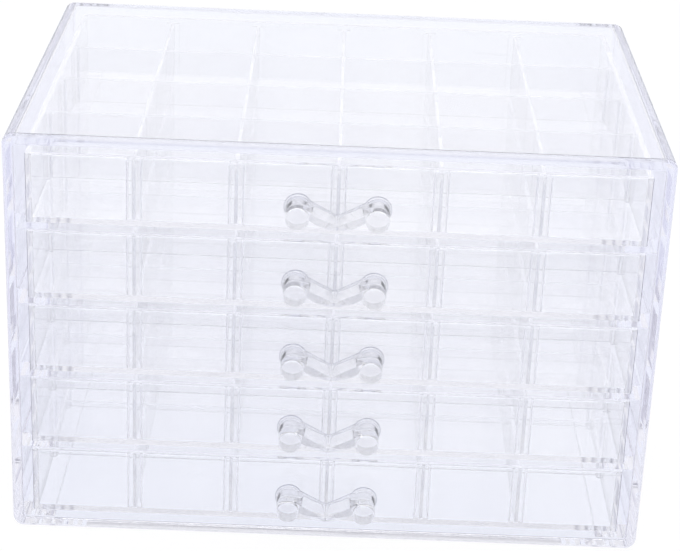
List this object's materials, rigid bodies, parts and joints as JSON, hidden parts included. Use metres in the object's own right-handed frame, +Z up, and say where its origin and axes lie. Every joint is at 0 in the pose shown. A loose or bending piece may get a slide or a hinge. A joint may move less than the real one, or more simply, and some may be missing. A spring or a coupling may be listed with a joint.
{
  "type": "clear drawer organizer",
  "caption": "Clear plastic desktop chest with shallow divided drawers for small jewellery and make-up; each drawer slides out by a handle.",
  "frame": {"origin": "centre of the casing's footprint, on the surface it stands on", "axes": "+X to the right along the front, +Y from the drawer fronts to the back wall, +Z up"},
  "size_m": [0.235, 0.177, 0.157],
  "materials": {
    "casing_plastic": "polished clear plastic",
    "tray_plastic": "polished clear plastic",
    "divider_plastic": "polished clear plastic",
    "handle_plastic": "polished clear plastic"
  },
  "bodies": {
    "casing": {"casing": "casing_plastic"},
    "drawer_1": {"drawer_1_tray": "tray_plastic", "drawer_1_handle": "handle_plastic", "drawer_1_long_divider_1": "divider_plastic", "drawer_1_long_divider_2": "divider_plastic", "drawer_1_long_divider_3": "divider_plastic", "drawer_1_long_divider_4": "divider_plastic", "drawer_1_long_divider_5": "divider_plastic", "drawer_1_cross_divider_1": "divider_plastic", "drawer_1_cross_divider_2": "divider_plastic", "drawer_1_cross_divider_3": "divider_plastic"},
    "drawer_2": {"drawer_2_tray": "tray_plastic", "drawer_2_handle": "handle_plastic", "drawer_2_long_divider_1": "divider_plastic", "drawer_2_long_divider_2": "divider_plastic", "drawer_2_long_divider_3": "divider_plastic", "drawer_2_long_divider_4": "divider_plastic", "drawer_2_long_divider_5": "divider_plastic", "drawer_2_cross_divider_1": "divider_plastic", "drawer_2_cross_divider_2": "divider_plastic", "drawer_2_cross_divider_3": "divider_plastic"},
    "drawer_3": {"drawer_3_tray": "tray_plastic", "drawer_3_handle": "handle_plastic", "drawer_3_long_divider_1": "divider_plastic", "drawer_3_long_divider_2": "divider_plastic", "drawer_3_long_divider_3": "divider_plastic", "drawer_3_long_divider_4": "divider_plastic", "drawer_3_long_divider_5": "divider_plastic", "drawer_3_cross_divider_1": "divider_plastic", "drawer_3_cross_divider_2": "divider_plastic", "drawer_3_cross_divider_3": "divider_plastic"},
    "drawer_4": {"drawer_4_tray": "tray_plastic", "drawer_4_handle": "handle_plastic", "drawer_4_long_divider_1": "divider_plastic", "drawer_4_long_divider_2": "divider_plastic", "drawer_4_long_divider_3": "divider_plastic", "drawer_4_long_divider_4": "divider_plastic", "drawer_4_long_divider_5": "divider_plastic", "drawer_4_cross_divider_1": "divider_plastic", "drawer_4_cross_divider_2": "divider_plastic", "drawer_4_cross_divider_3": "divider_plastic"},
    "drawer_5": {"drawer_5_tray": "tray_plastic", "drawer_5_handle": "handle_plastic", "drawer_5_long_divider_1": "divider_plastic", "drawer_5_long_divider_2": "divider_plastic", "drawer_5_long_divider_3": "divider_plastic", "drawer_5_long_divider_4": "divider_plastic", "drawer_5_long_divider_5": "divider_plastic", "drawer_5_cross_divider_1": "divider_plastic", "drawer_5_cross_divider_2": "divider_plastic", "drawer_5_cross_divider_3": "divider_plastic"}
  },
  "joints": [
    {"name": "drawer_1_slide", "type": "slide", "parent": "casing", "child": "drawer_1", "axis": [0, -1, 0], "range_m": [0, 0.13]},
    {"name": "drawer_2_slide", "type": "slide", "parent": "casing", "child": "drawer_2", "axis": [0, -1, 0], "range_m": [0, 0.13]},
    {"name": "drawer_3_slide", "type": "slide", "parent": "casing", "child": "drawer_3", "axis": [0, -1, 0], "range_m": [0, 0.13]},
    {"name": "drawer_4_slide", "type": "slide", "parent": "casing", "child": "drawer_4", "axis": [0, -1, 0], "range_m": [0, 0.13]},
    {"name": "drawer_5_slide", "type": "slide", "parent": "casing", "child": "drawer_5", "axis": [0, -1, 0], "range_m": [0, 0.13]}
  ]
}
